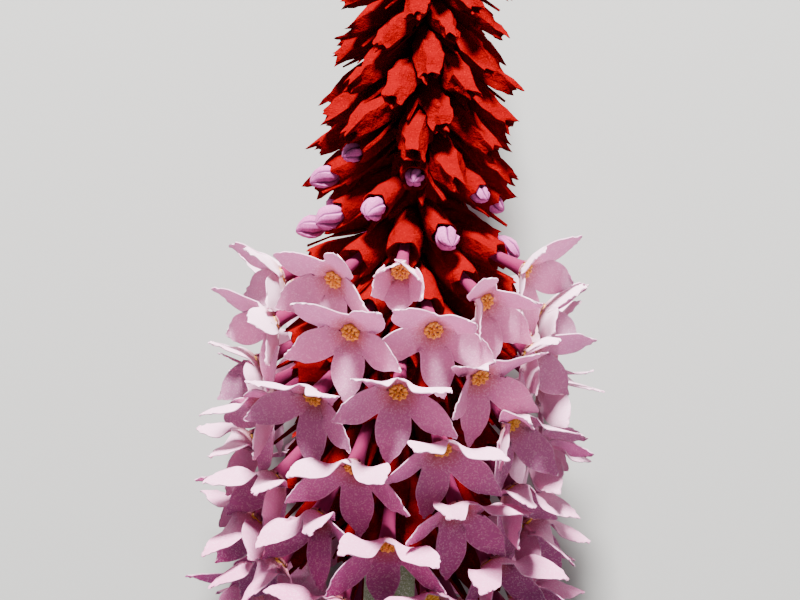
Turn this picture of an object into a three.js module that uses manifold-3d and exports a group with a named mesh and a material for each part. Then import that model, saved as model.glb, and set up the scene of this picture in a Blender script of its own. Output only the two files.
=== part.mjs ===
// Orchid primrose, one cut flower lying on a table.
// A dense spike of flowers stands on a round scape. It flowers from the bottom up: open corollas below, then
// lilac buds just out of their calyces, then red calyces that are still shut, up to a pointed tip.
// Millimetres, +Z up, +Y along the spike towards its tip, the table at z = 0.
import * as THREE from "three";
import { mergeVertices } from "three/addons/utils/BufferGeometryUtils.js";
import Module from "manifold-3d";

const wasm = await Module();
wasm.setup();
const { Manifold, Mesh } = wasm;

// Driving dimensions. Heights run along the spike, from a little above its lowest flowers up to the tip.
const SPIKE_TIP = 73;
const SPIKE_BASE = 5.2; // the core of the spike starts here, on the scape
const CORE_SIDES = 8;
const CORE_HEIGHTS = [SPIKE_BASE, 30, 50, 62, SPIKE_TIP];
const SCAPE_LENGTH = 118;
const SCAPE_RADIUS = 2.4;
const SCAPE_SIDES = 12;
const SCAPE_STEPS = 12;
const SCAPE_SWAY = 3; // how far the scape bows to one side
const FLAT_LENGTH = 18; // of the scape, lying on the table at its cut end
const AXIS_HEIGHT = 14.2; // the spike's centre line above the table
const JOINT_GAP = 0.3;

const TEETH = 5;
const CALYX_ROOT = 0.9; // how deep a calyx stands in the core
const SHUT_CALYX_LENGTH = 8.8; // from the core to the tips of the teeth
const OPEN_CALYX_LENGTH = 7.4;
const BUD_CALYX_LENGTH = 8.6;
const CALYX_MOUTH = 0.76; // where the teeth part, as a share of that length
const CALYX_RADIUS = 1.7;
const TOOTH_LEAN = 0.84; // the tips of the teeth stand on a circle this much of the calyx's radius
const PEDICEL_RADIUS = 0.75; // out to the corners of its three-sided foot

const LOBES = 5;
const MOUTH_RADIUS = 12.9; // from the spike's centre line to the mouths of full flowers
const YOUNG_RADIUS = 11.7; // and to those of the youngest, at the top
const MOST_LENGTH = 14.6; // of a tube, from the core to the mouth
const TUBE_START = 3.6; // the corolla stands free in its calyx from here on
const TUBE_RADIUS = 0.45;
const TUBE_CLEARANCE = 0.25;
const THROAT_RADIUS = 1;
const LOBE_LENGTH = 5.9;
const LOBE_HALF_WIDTH = 1.5;
const LOBE_THICKNESS = 0.7;
const LOBE_OUTLINE = [[0.4, 1], [0.74, 0.76], [1, 0]]; // share of the lobe's length, share of its half width
const LOBE_ROOT = 0.8; // from the middle of the mouth, as a share of the throat's radius
const PARTING = [0, 0, -1, 1, 0]; // the third and fourth lobes are the upper ones, to the left and the right
const UPPER_GAP = 8; // degrees that each of those swings away from the other
const FOLDED_GAP = 10; // and so much more in an old flower, where they come down over the side ones
const FOLD = 60; // degrees that they turn on their own line as they do
const EYE_HEIGHT = 0.5;

// The open flowers that face up: turn round the spike in degrees (0 faces up, plus is towards +X), height of
// the mouth, nod below square to the spike, roll, and how far the lobes have opened.
const FACING_UP = [
  [-4, 29.8, 34, 0, 0.2],
  [62, 30.2, 24, -8, 0.9],
  [-35, 28.7, 30, 0, 0.9],
  [-78, 28.2, 26, 8, 0.9],
  [34, 27.6, 30, 0, 0.9],
  [86, 26.4, 27, 0, 1],
  [11, 24.9, 30, -4, 1],
  [-22, 24.2, 30, 3, 1],
  [-64, 24, 32, 0, 1],
  [62, 23.4, 32, 0, 1],
  [32, 21, 35, 4, 1],
  [90, 20.6, 34, 0, 1],
  [-86, 20.3, 34, 0, 1],
  [-1, 19.3, 35, 5, 1],
  [-39, 18, 38, -3, 1],
  [-66, 16.8, 40, 0, 1],
  [49, 16.6, 42, 4, 1],
  [18, 14.4, 46, 4, 1],
  [82, 14.6, 43, 0, 1],
  [-88, 13.6, 43, 0, 1],
  [-18, 12.4, 49, 0, 1],
  [58, 10.8, 49, 0, 1],
  [-60, 10.6, 49, 0, 1],
  [29, 9.3, 50, 5, 1],
  [-36, 7.8, 51, 0, 1],
  [84, 7.8, 48, 0, 1],
  [-85, 6.4, 48, 0, 1],
  [-2, 5.8, 52, 2, 1],
  [50, 4.4, 52, 0, 1],
  [-60, 3.2, 52, 0, 1],
  [17, 1.2, 52, 0, 1],
  [-24, 0.8, 52, 0, 1],
  [76, 1.4, 50, 0, 1],
];
// The others follow a spiral, and each place on it is used only where a flower has room.
const GOLDEN_ANGLE = 137.508;
const OPEN_SPIRAL_STEP = 0.17;
const OPEN_TOP = 29.5;
const OPEN_BOTTOM = -1.8;
const OPEN_SPACING = 5.95;
const MOUTH_CIRCLE = 12.5; // the spacing of the mouths is measured round a circle of this radius
const NOD_TOP = 26;
const NOD_BOTTOM = 46;
const TABLE_NOD = 16; // flowers that face down are pressed over by the table

// Lilac buds: turn, height where the calyx grows from the core, nod, and how far the bud stands out of it.
const LILAC_BUDS = [
  [-80, 41.2, 28, 0.9],
  [-49, 43.1, 28, 0.6],
  [-25, 38.4, 28, 0.9],
  [-60, 37.6, 28, 1],
  [-90, 35.6, 18, 1],
  [23, 36.2, 28, 0.9],
  [85, 35.7, 26, 1],
  [88, 39.3, 28, 0.5],
];
const BUD_SPIRAL_STEP = 0.3;
const BUD_TOP = 41;
const BUD_BOTTOM = 35.6;
const BUD_SPACING = 3.9;
const BUD_CIRCLE = 10;
const BUD_RADIUS = 1.3;
const BUD_LENGTH = 3.2; // of a full bud, past the teeth's notches
const BUD_NOD = 28;
const SHUT_CIRCLE = 4; // the spacing of the shut calyces' roots is measured round a circle of this radius

// Shut calyces: one spiral up to the tip, smaller, closer together and more upright towards it.
const SHUT_COUNT = 104;
const SHUT_BOTTOM = 36.6;
const SHUT_CROWDING = 0.86;
const TIP_SHRINK = 0.7;
const SHUT_NOD = 35;
const TIP_NOD = -62;
const SHUT_SPACING = 2; // from the roots of the lilac buds

// Bending clear: a flower that would cross another is tried bent a little, and a bend that helps is kept.
const SEED = 20;
const BEND_PASSES = 14;
const BEND_TRIES = 40;
const BEND_ROOM = 0.12; // added to each lobe all round while this is worked out
const MOST_LIFT = 32; // degrees that a lobe may be lifted or lowered
const MOST_SWING = 16;
const CROSSING_LEFT = 0.004; // cubic millimetres that count as none

const TIPWARDS = new THREE.Vector3(0, 1, 0);
const radians = THREE.MathUtils.degToRad;
const { smoothstep, lerp, clamp } = THREE.MathUtils;

let state = SEED;
function random() {
  state = (state * 1664525 + 1013904223) % 4294967296;
  return state / 4294967296;
}
const spread = (size) => (2 * random() - 1) * size;
const halfTurn = (turn) => ((turn % 360) + 540) % 360 - 180;

// The core of the spike is thinner towards the tip.
function coreRadius(height) {
  const share = clamp((height - SPIKE_BASE) / (SPIKE_TIP - SPIKE_BASE), 0, 1);
  return SCAPE_RADIUS * (1 - 0.78 * share ** 2.6);
}

// Where something grows from the core and which way it points.
function stand(turn, nod, height) {
  const [sin, cos] = [Math.sin(radians(nod)), Math.cos(radians(nod))];
  const out = new THREE.Vector3(Math.sin(radians(turn)), 0, Math.cos(radians(turn)));
  const right = new THREE.Vector3(Math.cos(radians(turn)), 0, -Math.sin(radians(turn)));
  const axis = out.clone().multiplyScalar(cos).addScaledVector(TIPWARDS, -sin);
  const up = out.clone().multiplyScalar(sin).addScaledVector(TIPWARDS, cos);
  return { root: out.multiplyScalar(coreRadius(height)).setY(height), axis, up, right };
}

// A point at a distance along a stand's axis, and out from it at an angle, clockwise seen from outside.
function around(place, along, radius, degrees) {
  return place.root
    .clone()
    .addScaledVector(place.axis, along)
    .addScaledVector(place.up, radius * Math.cos(radians(degrees)))
    .addScaledVector(place.right, radius * Math.sin(radians(degrees)));
}

// The corolla's tube widens evenly from its foot in the calyx to the mouth.
function tubeRadius(along, length) {
  return lerp(TUBE_RADIUS, THROAT_RADIUS, (along - TUBE_START) / (length - TUBE_START));
}

function solidFrom(points, triangles) {
  const vertProperties = new Float32Array(points.flatMap((p) => [p.x, p.y, p.z]));
  const triVerts = new Uint32Array(triangles.flat());
  return new Manifold(new Mesh({ numProp: 3, vertProperties, triVerts }));
}

// A flat fan over a ring of corners; it faces back along the ring's axis, or forwards if turned over.
function fan(first, count, over) {
  const faces = [];
  for (let k = first + 1; k < first + count - 1; k++) {
    faces.push(over ? [first, k + 1, k] : [first, k, k + 1]);
  }
  return faces;
}

// A closed solid through rings that have the same number of corners.
function skin(rings) {
  const sides = rings[0].length;
  const last = (rings.length - 1) * sides;
  const triangles = [...fan(0, sides, false), ...fan(last, sides, true)];
  for (let ring = 0; ring < last; ring += sides) {
    for (let k = 0; k < sides; k++) {
      const next = ring + ((k + 1) % sides);
      triangles.push([ring + k, ring + sides + k, next], [next, ring + sides + k, next + sides]);
    }
  }
  return solidFrom(rings.flat(), triangles);
}

// A calyx has a three-sided foot under a crown of teeth and notches. Each corner has a stretch of the crown.
const FOOT_TO_CROWN = [[0, [8, 9, 0, 1, 2]], [1, [2, 3, 4, 5]], [2, [5, 6, 7, 8]]];

// A calyx is a pedicel that widens to a cup with five pointed teeth. In a shut one they stand round a low
// point, and in an open one round a hole for the tube of the flower.
function calyx(place, length, radius, flower) {
  const mouth = length * CALYX_MOUTH;
  const foot = (PEDICEL_RADIUS * radius) / CALYX_RADIUS;
  const points = [0, 120, 240].map((side) => around(place, -CALYX_ROOT, foot, side));
  for (let k = 0; k < TEETH; k++) {
    points.push(around(place, length, radius * TOOTH_LEAN, 72 * k));
    points.push(around(place, mouth, radius, 72 * k + 36));
  }
  const crown = (i) => 3 + (i % (2 * TEETH));
  const triangles = [[0, 1, 2]];
  for (const [corner, stretch] of FOOT_TO_CROWN) {
    const [first, ...rest] = stretch.map(crown);
    rest.forEach((point, i) => triangles.push([corner, i ? rest[i - 1] : first, point]));
    triangles.push([corner, rest.at(-1), (corner + 1) % 3]);
  }
  const inner = points.length;
  if (!flower) {
    points.push(around(place, mouth, 0, 0));
    for (let i = 0; i < 2 * TEETH; i++) triangles.push([crown(i + 1), crown(i), inner]);
    return solidFrom(points, triangles);
  }
  for (const along of [mouth, TUBE_START - JOINT_GAP]) {
    const bore = tubeRadius(along, flower.length) + TUBE_CLEARANCE;
    for (let k = 0; k < TEETH; k++) points.push(around(place, along, bore, 72 * k + flower.roll));
  }
  const floor = inner + TEETH;
  for (let k = 0; k < TEETH; k++) {
    const next = (k + 1) % TEETH;
    const before = (k + TEETH - 1) % TEETH;
    const tooth = crown(2 * k);
    const notch = crown(2 * k + 1);
    triangles.push([tooth, crown(2 * before + 1), inner + k], [notch, tooth, inner + k]);
    triangles.push([notch, inner + k, inner + next]);
    triangles.push([floor + k, floor + next, inner + k], [floor + next, inner + next, inner + k]);
  }
  triangles.push(...fan(floor, TEETH, true));
  return solidFrom(points, triangles);
}

// A five-sided spindle through rings given as distance along the axis and radius.
function spindle(place, rings, degrees) {
  return skin(rings.map(([along, radius]) =>
    [0, 1, 2, 3, 4].map((k) => around(place, along, radius, 72 * k + degrees))));
}

// A lobe leaves the mouth at one angle from the flower's axis and curls from there. The lower ones spread and
// hang. The upper two stand apart, and in an old flower they fold over the side ones like a roof.
function lobeBend(flower, k) {
  const parting = PARTING[k] * flower.open;
  const side = 72 * k + 180 + flower.roll + (UPPER_GAP + FOLDED_GAP * flower.hood) * parting;
  const upper = (1 + Math.cos(radians(side))) / 2;
  const start = lerp(14, lerp(56, 68 - 8 * flower.hood, upper), flower.open);
  const curl = lerp(4, lerp(14, -10 - 20 * flower.hood, upper), flower.open);
  const twist = -FOLD * flower.hood * parting;
  return { side: side + flower.swing[k], start: start + flower.lift[k], curl, twist: radians(twist) };
}

// One lobe as rings of left, front, right and back points, then its tip.
function lobePoints(flower, k, room) {
  const { place, length, grown } = flower;
  const { side, start, curl, twist } = lobeBend(flower, k);
  const middle = { ...place, root: new THREE.Vector3() };
  const outward = around(middle, 0, 1, side);
  const across = around(middle, 0, 1, side + 90);
  const spine = around(place, length, THROAT_RADIUS * LOBE_ROOT, side);
  const half = LOBE_THICKNESS / 2 + room;
  const points = [];
  let reached = 0;
  for (const [share, width] of LOBE_OUTLINE) {
    const angle = radians(start + (curl * (reached + share)) / 2);
    const step = (share - reached) * LOBE_LENGTH * grown + (share === 1 ? room : 0);
    spine.addScaledVector(place.axis, step * Math.cos(angle));
    spine.addScaledVector(outward, step * Math.sin(angle));
    reached = share;
    if (share === 1) continue;
    const here = radians(start + curl * share);
    const flat = place.axis.clone().multiplyScalar(Math.sin(here)).addScaledVector(outward, -Math.cos(here));
    const wide = across.clone().multiplyScalar(Math.cos(twist)).addScaledVector(flat, Math.sin(twist));
    const front = flat.multiplyScalar(Math.cos(twist)).addScaledVector(across, -Math.sin(twist));
    const reach = width * LOBE_HALF_WIDTH * grown + room;
    const rim = [[wide, -reach], [front, half], [wide, reach], [front, -half]];
    points.push(...rim.map(([way, distance]) => spine.clone().addScaledVector(way, distance)));
  }
  points.push(spine);
  return points;
}

// An open corolla: a slim tube from inside the calyx, a throat and five pointed lobes with a thick middle.
function corolla(flower, room) {
  const { place, length, roll } = flower;
  const points = [];
  for (const [along, radius] of [[TUBE_START, TUBE_RADIUS], [length, THROAT_RADIUS]]) {
    for (let k = 0; k < LOBES; k++) points.push(around(place, along, radius + room, 72 * k + 216 + roll));
  }
  const eye = points.push(around(place, length + EYE_HEIGHT, 0, 0)) - 1;
  const triangles = fan(0, LOBES, false);
  for (let k = 0; k < LOBES; k++) {
    const before = (k + LOBES - 1) % LOBES;
    const leftRoot = LOBES + before;
    const rightRoot = LOBES + k;
    const lobe = points.length;
    points.push(...lobePoints(flower, k, room));
    const [left, front, right, back] = [lobe, lobe + 1, lobe + 2, lobe + 3];
    const [left2, front2, right2, back2, tip] = [lobe + 4, lobe + 5, lobe + 6, lobe + 7, lobe + 8];
    triangles.push([before, leftRoot, k], [k, leftRoot, rightRoot]);
    triangles.push([leftRoot, eye, front], [eye, rightRoot, front]);
    triangles.push([leftRoot, front, left], [front, rightRoot, right]);
    triangles.push([rightRoot, leftRoot, back], [leftRoot, left, back], [rightRoot, back, right]);
    triangles.push([left, front, front2], [left, front2, left2]);
    triangles.push([front, right, right2], [front, right2, front2]);
    triangles.push([left, left2, back2], [left, back2, back]);
    triangles.push([right, back, back2], [right, back2, right2]);
    triangles.push([left2, front2, tip], [front2, right2, tip], [left2, tip, back2], [right2, back2, tip]);
  }
  return { points, triangles };
}

function corollaSolid(flower, room) {
  const { points, triangles } = corolla(flower, room);
  return solidFrom(points, triangles);
}

// A young flower at the top is smaller and flatter than an old one, whose upper lobes have arched over.
function openFlower(turn, mouthHeight, nod, roll, open) {
  const below = OPEN_TOP - mouthHeight;
  const age = smoothstep(below, 0, OPEN_TOP - OPEN_BOTTOM);
  const reach = lerp(YOUNG_RADIUS, MOUTH_RADIUS, smoothstep(below, 0, 7)) * lerp(0.86, 1, open);
  const length = Math.min((reach - SCAPE_RADIUS) / Math.cos(radians(nod)), MOST_LENGTH);
  const height = mouthHeight + length * Math.sin(radians(nod));
  const pressed = nod + TABLE_NOD * smoothstep(Math.abs(turn), 105, 165);
  const grown = lerp(0.55, 1, open) * lerp(0.95, 1.1, age) * (1 + spread(0.03));
  const hood = clamp(smoothstep(below, 3, 15) + spread(0.2), 0, 1) * open;
  const still = { lift: [0, 0, 0, 0, 0], swing: [0, 0, 0, 0, 0] };
  return { turn, height, length, nod: pressed, roll, open, grown, hood, ...still };
}

// Whether a place on the unrolled spike is at least so far from all of these.
function hasRoom(turn, height, taken, circle, spacing) {
  return taken.every(([otherTurn, otherHeight]) =>
    Math.hypot(radians(halfTurn(turn - otherTurn)) * circle, height - otherHeight) >= spacing);
}

function layOpenFlowers() {
  const flowers = FACING_UP.map((row) => openFlower(...row));
  const taken = FACING_UP.map(([turn, height]) => [turn, height]);
  for (let i = 0; i * OPEN_SPIRAL_STEP < OPEN_TOP - OPEN_BOTTOM; i++) {
    const height = OPEN_TOP - i * OPEN_SPIRAL_STEP;
    const turn = halfTurn(i * GOLDEN_ANGLE);
    if (!hasRoom(turn, height, taken, MOUTH_CIRCLE, OPEN_SPACING)) continue;
    taken.push([turn, height]);
    const nod = lerp(NOD_BOTTOM, NOD_TOP, smoothstep(height, OPEN_BOTTOM, OPEN_TOP)) + spread(3);
    flowers.push(openFlower(turn, height, nod, spread(8), 1));
  }
  return flowers;
}

function layLilacBuds() {
  const buds = [...LILAC_BUDS];
  for (let i = 0; i * BUD_SPIRAL_STEP < BUD_TOP - BUD_BOTTOM; i++) {
    const height = BUD_TOP - i * BUD_SPIRAL_STEP;
    const turn = halfTurn(i * GOLDEN_ANGLE);
    if (!hasRoom(turn, height, buds, BUD_CIRCLE, BUD_SPACING)) continue;
    buds.push([turn, height, BUD_NOD, lerp(1, 0.5, smoothstep(height, BUD_BOTTOM, BUD_TOP))]);
  }
  return buds;
}

function layShutCalyces(taken) {
  const shut = [];
  for (let i = 0; i < SHUT_COUNT; i++) {
    const share = ((i + 0.5) / SHUT_COUNT) ** SHUT_CROWDING;
    const height = lerp(SHUT_BOTTOM, SPIKE_TIP - 1.5, share);
    const turn = halfTurn(GOLDEN_ANGLE * i + 40);
    if (!hasRoom(turn, height, taken, SHUT_CIRCLE, SHUT_SPACING)) continue;
    const size = (1 - TIP_SHRINK * share ** 1.6) * (1 + spread(0.05));
    const nod = lerp(SHUT_NOD, TIP_NOD, smoothstep(share, 0.45, 1) ** 1.3) + spread(4);
    shut.push({ turn: turn + spread(5), height, nod, size });
  }
  return shut;
}

const tubeHole = (flower) =>
  spindle(flower.place, [
    [TUBE_START - JOINT_GAP, tubeRadius(TUBE_START - JOINT_GAP, flower.length) + TUBE_CLEARANCE],
    [flower.length, THROAT_RADIUS + TUBE_CLEARANCE],
  ], 216 + flower.roll);

// All that grows from the core and stays there, piece by piece: the calyces, and the buds in some of them.
function layCalyces(flowers, buds, shut) {
  const pieces = [];
  const put = (place, along, solid, owner) => pieces.push({ at: around(place, along, 0, 0), solid, owner });
  for (const flower of flowers) {
    put(flower.place, 4, calyx(flower.place, OPEN_CALYX_LENGTH, CALYX_RADIUS, flower), flower);
  }
  for (const [turn, height, nod, out] of buds) {
    const place = stand(turn, nod, height);
    const mouth = BUD_CALYX_LENGTH * CALYX_MOUTH;
    const standing = BUD_LENGTH * out;
    const rings = [[mouth - 1.5, 0.7], [mouth + standing * 0.55, BUD_RADIUS], [mouth + standing, 0.5]];
    put(place, 4, calyx(place, BUD_CALYX_LENGTH, CALYX_RADIUS));
    put(place, 8, spindle(place, rings, 36));
  }
  for (const { turn, height, nod, size } of shut) {
    const place = stand(turn, nod, height);
    put(place, 4 * size, calyx(place, SHUT_CALYX_LENGTH * size, CALYX_RADIUS * size));
  }
  for (const flower of flowers) {
    const hole = tubeHole(flower);
    const middle = around(flower.place, 7, 0, 0);
    for (const piece of pieces) {
      if (piece.owner === flower || piece.at.distanceTo(middle) > 11) continue;
      if (!piece.solid.intersect(hole).isEmpty()) piece.solid = piece.solid.subtract(hole);
    }
  }
  return pieces;
}

// How much of a flower is inside its neighbours, the calyces or the table.
function crossing(flower) {
  const solid = corollaSolid(flower, BEND_ROOM);
  let cost = 0;
  for (const point of corolla(flower, 0).points) cost += 2 * Math.max(0, -AXIS_HEIGHT - point.z);
  for (const other of flower.near) cost += solid.intersect(other.solid).volume();
  for (const piece of flower.nearCalyces) cost += solid.intersect(piece.solid).volume();
  return { cost, solid };
}

// One small change to a flower: a lobe lifted or swung, the flower rolled, or its stalk moved a little.
function bend(flower) {
  const lift = [...flower.lift];
  const swing = [...flower.swing];
  const k = Math.floor(random() * LOBES);
  const choice = random();
  if (choice < 0.5) lift[k] = clamp(lift[k] + spread(14), -MOST_LIFT, MOST_LIFT);
  else if (choice < 0.75) swing[k] = clamp(swing[k] + spread(9), -MOST_SWING, MOST_SWING);
  const bent = { ...flower, lift, swing };
  if (choice >= 0.75 && choice < 0.85) bent.roll += spread(8);
  if (choice >= 0.85 && choice < 0.93) bent.nod += spread(3);
  if (choice >= 0.93) bent.turn += spread(2.5);
  bent.place = stand(bent.turn, bent.nod, bent.height);
  return bent;
}

function bendClear(flowers, buds, shut) {
  const mouthOf = (flower) => around(flower.place, flower.length - 1, 0, 0);
  for (const flower of flowers) {
    flower.place = stand(flower.turn, flower.nod, flower.height);
    flower.solid = corollaSolid(flower, BEND_ROOM);
  }
  for (let pass = 0; pass < BEND_PASSES; pass++) {
    const calyces = layCalyces(flowers, buds, shut);
    let left = 0;
    for (const flower of flowers) {
      const mouth = mouthOf(flower);
      const close = (point, distance) => point.distanceTo(mouth) < distance;
      flower.near = flowers.filter((other) => other !== flower && close(mouthOf(other), 15));
      flower.nearCalyces = calyces.filter((piece) => piece.owner !== flower && close(piece.at, 12));
      let { cost } = crossing(flower);
      for (let tries = 0; tries < BEND_TRIES && cost > CROSSING_LEFT; tries++) {
        const bent = bend(flower);
        const now = crossing(bent);
        if (now.cost >= cost) continue;
        Object.assign(flower, bent, { solid: now.solid });
        cost = now.cost;
      }
      left = Math.max(left, cost);
    }
    if (left <= CROSSING_LEFT) return;
  }
}

// A geometry class's mesh as a solid: its seams are merged first.
function solidOf(geometry) {
  geometry.deleteAttribute("normal");
  geometry.deleteAttribute("uv");
  const merged = mergeVertices(geometry, 1e-4);
  const vertProperties = merged.attributes.position.array;
  const triVerts = new Uint32Array(merged.index.array);
  return new Manifold(new Mesh({ numProp: 3, vertProperties, triVerts }));
}

// The core of the spike, which everything grows from.
function core() {
  const side = CORE_HEIGHTS.map((height) => new THREE.Vector2(coreRadius(height), height));
  const profile = [new THREE.Vector2(0, SPIKE_BASE), ...side, new THREE.Vector2(0, SPIKE_TIP)];
  return solidOf(new THREE.LatheGeometry(profile, CORE_SIDES));
}

// The bare scape sinks in a slow bow from the spike to the table and lies on it with one of its flat sides.
function scape() {
  const lying = -AXIS_HEIGHT + SCAPE_RADIUS * Math.cos(Math.PI / SCAPE_SIDES);
  const route = Array.from({ length: SCAPE_STEPS + 1 }, (_, i) => {
    const along = (SCAPE_LENGTH * i) / SCAPE_STEPS;
    const sway = SCAPE_SWAY * Math.sin((Math.PI * along) / SCAPE_LENGTH) ** 2;
    const sunk = lying * smoothstep(along, 0, SCAPE_LENGTH - FLAT_LENGTH);
    return new THREE.Vector3(sway, SPIKE_BASE - JOINT_GAP - along, sunk);
  });
  const section = new THREE.Shape(
    Array.from({ length: SCAPE_SIDES }, (_, k) => {
      const angle = (2 * Math.PI * (k + 0.5)) / SCAPE_SIDES;
      return new THREE.Vector2(SCAPE_RADIUS * Math.cos(angle), SCAPE_RADIUS * Math.sin(angle));
    }),
  );
  const extrudePath = new THREE.CatmullRomCurve3(route);
  return solidOf(new THREE.ExtrudeGeometry(section, { steps: SCAPE_STEPS, extrudePath }));
}

const GREEN = new THREE.MeshStandardMaterial({ color: 0x8fa672, roughness: 0.6, metalness: 0 });
const RED = new THREE.MeshStandardMaterial({ color: 0xb3141a, roughness: 0.7, metalness: 0 });
const PINK = new THREE.MeshStandardMaterial({ color: 0xd9a0c6, roughness: 0.65, metalness: 0 });

const flowers = layOpenFlowers();
const buds = layLilacBuds();
const shut = layShutCalyces(buds.map(([turn, height]) => [turn, height]));
bendClear(flowers, buds, shut);

const calyces = layCalyces(flowers, buds, shut).map((piece) => piece.solid);
const pieces = [
  { name: "stem", solid: scape(), material: GREEN },
  { name: "calyx_spike", solid: Manifold.union([core(), ...calyces]), material: RED },
  ...flowers.map((flower, i) => ({
    name: "corolla_" + String(i + 1).padStart(2, "0"),
    solid: corollaSolid(flower, 0),
    material: PINK,
  })),
];

function meshOf({ name, solid, material }) {
  const { vertProperties, triVerts } = solid.getMesh();
  const geometry = new THREE.BufferGeometry()
    .setAttribute("position", new THREE.BufferAttribute(vertProperties, 3))
    .setIndex(new THREE.BufferAttribute(triVerts, 1));
  const mesh = new THREE.Mesh(geometry, material);
  mesh.name = name;
  return mesh;
}

// The origin is on the table, under the middle of the whole flower.
const lying = new THREE.Group();
lying.add(...pieces.map(meshOf));
const box = new THREE.Box3().setFromObject(lying);
const middle = box.getCenter(new THREE.Vector3());
lying.position.set(-middle.x, -middle.y, AXIS_HEIGHT);
const group = new THREE.Group();
group.add(lying);

export default group;
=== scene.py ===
import itertools
import math
import bmesh
import bpy
from mathutils import Matrix, Vector, noise


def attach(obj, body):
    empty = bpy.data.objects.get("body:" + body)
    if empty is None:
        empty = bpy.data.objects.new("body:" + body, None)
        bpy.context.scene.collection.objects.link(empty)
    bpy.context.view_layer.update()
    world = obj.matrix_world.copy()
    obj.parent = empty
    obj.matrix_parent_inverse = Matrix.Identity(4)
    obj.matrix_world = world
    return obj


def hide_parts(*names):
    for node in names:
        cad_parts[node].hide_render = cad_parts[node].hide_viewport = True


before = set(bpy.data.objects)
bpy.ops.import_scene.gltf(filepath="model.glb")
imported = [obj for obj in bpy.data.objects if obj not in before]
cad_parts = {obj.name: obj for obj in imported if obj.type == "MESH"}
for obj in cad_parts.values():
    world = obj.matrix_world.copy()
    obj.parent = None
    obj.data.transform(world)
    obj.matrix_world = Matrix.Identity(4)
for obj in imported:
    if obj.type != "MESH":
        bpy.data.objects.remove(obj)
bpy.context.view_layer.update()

# Where the spike lies. Its centre line is level and carries on from the top of the scape. The flower is
# built in millimetres round that line: x to the right, y up the spike, z up from the table.
MM = 0.001
JOINT_HEIGHT = 4.9  # of the scape's top, along the spike
scape_points = [v.co.copy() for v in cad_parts["stem"].data.vertices]
joint_y = max(p.y for p in scape_points)
joint = [p for p in scape_points if p.y > joint_y - MM]
middle = [(min(p[i] for p in joint) + max(p[i] for p in joint)) / 2 for i in range(3)]
TO_FRAME = Matrix.Translation(middle) @ Matrix.Scale(MM, 4) @ Matrix.Translation((0, -JOINT_HEIGHT, 0))
FROM_FRAME = TO_FRAME.inverted()
SPIKEWARDS = Vector((0, 1, 0))

# Scape. The bare flower stalk of living green tissue, round, juicy and dusted with white meal, cut straight
# across. A ring is drawn down from the spike, station by station, closed at the cut, and then smoothed.
SCAPE_RADIUS = 2.35
SCAPE_STATIONS = 12
CUT_SHARE = 0.96  # of the radius, left at the edge of the cut
CUT_SKIN = 0.3
CUT_HOLLOW = 0.12
CUT_RIND = 0.9
SCAPE_GREEN = "8FA873"
SCAPE_SHADE = "6E8C50"
MEAL = "E9EFE2"
CUT_PITH = "C9D6A4"
MEAL_GRAIN = 0.14 * MM
MEAL_HEIGHT = 0.04 * MM
FIBRE_WIDTH = 0.5 * MM
FIBRE_STRETCH = 0.06  # the fibres' pattern along the stalk, beside that across it
FIBRE_END = 0.3 * MM


def linear(code):
    """An sRGB hex colour as linear red, green, blue and alpha."""
    shares = [int(code[i : i + 2], 16) / 255 for i in (0, 2, 4)]
    return [s / 12.92 if s <= 0.04045 else ((s + 0.055) / 1.055) ** 2.4 for s in shares] + [1]


def new_material(name, roughness):
    """A material and its one shader, with a uniform roughness."""
    material = bpy.data.materials.new(name)
    material.use_nodes = True
    shader = material.node_tree.nodes["Principled BSDF"]
    shader.inputs["Roughness"].default_value = roughness
    return material, shader


def add(material, kind, inputs=(), **settings):
    """Adds a node to a material. Each input is given a value, or another node's output to be linked to.

    A Mix of colours has its share in input 0 and the colours in 6 and 7. A Map Range has its value in input
    0, the span that it reads in 1 and 2, and the span that it gives in 3 and 4.
    """
    node = material.node_tree.nodes.new(kind)
    for name, value in settings.items():
        setattr(node, name, value)
    for socket, value in dict(inputs).items():
        if isinstance(value, bpy.types.NodeSocket):
            material.node_tree.links.new(value, node.inputs[socket])
        else:
            node.inputs[socket].default_value = value
    return node


def start(add_primitive, **settings):
    """Adds a primitive with nothing else selected and opens it in edit mode."""
    bpy.ops.object.select_all(action="DESELECT")
    add_primitive(**settings)
    bpy.ops.object.mode_set(mode="EDIT")
    return bpy.context.object


def close_edit(piece):
    """Leaves edit mode and puts the piece's place into its mesh."""
    bpy.ops.object.mode_set(mode="OBJECT")
    piece.data.transform(piece.matrix_world)
    piece.matrix_world = Matrix.Identity(4)
    return piece


def round_off(piece, levels):
    """Smooths a piece by dividing its faces."""
    rounding = piece.modifiers.new("rounding", "SUBSURF")
    rounding.levels = levels
    rounding.render_levels = levels
    bpy.ops.object.modifier_apply(modifier="rounding")


def hand_over(piece, name, slot, *materials):
    """Takes a piece into the frame, names it, gives it its materials and lets it ride on the flower."""
    piece.data.transform(TO_FRAME)
    piece.name = name
    piece.data.name = name
    for material in materials:
        piece.data.materials.append(material)
    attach(piece, "root")
    return piece


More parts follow.
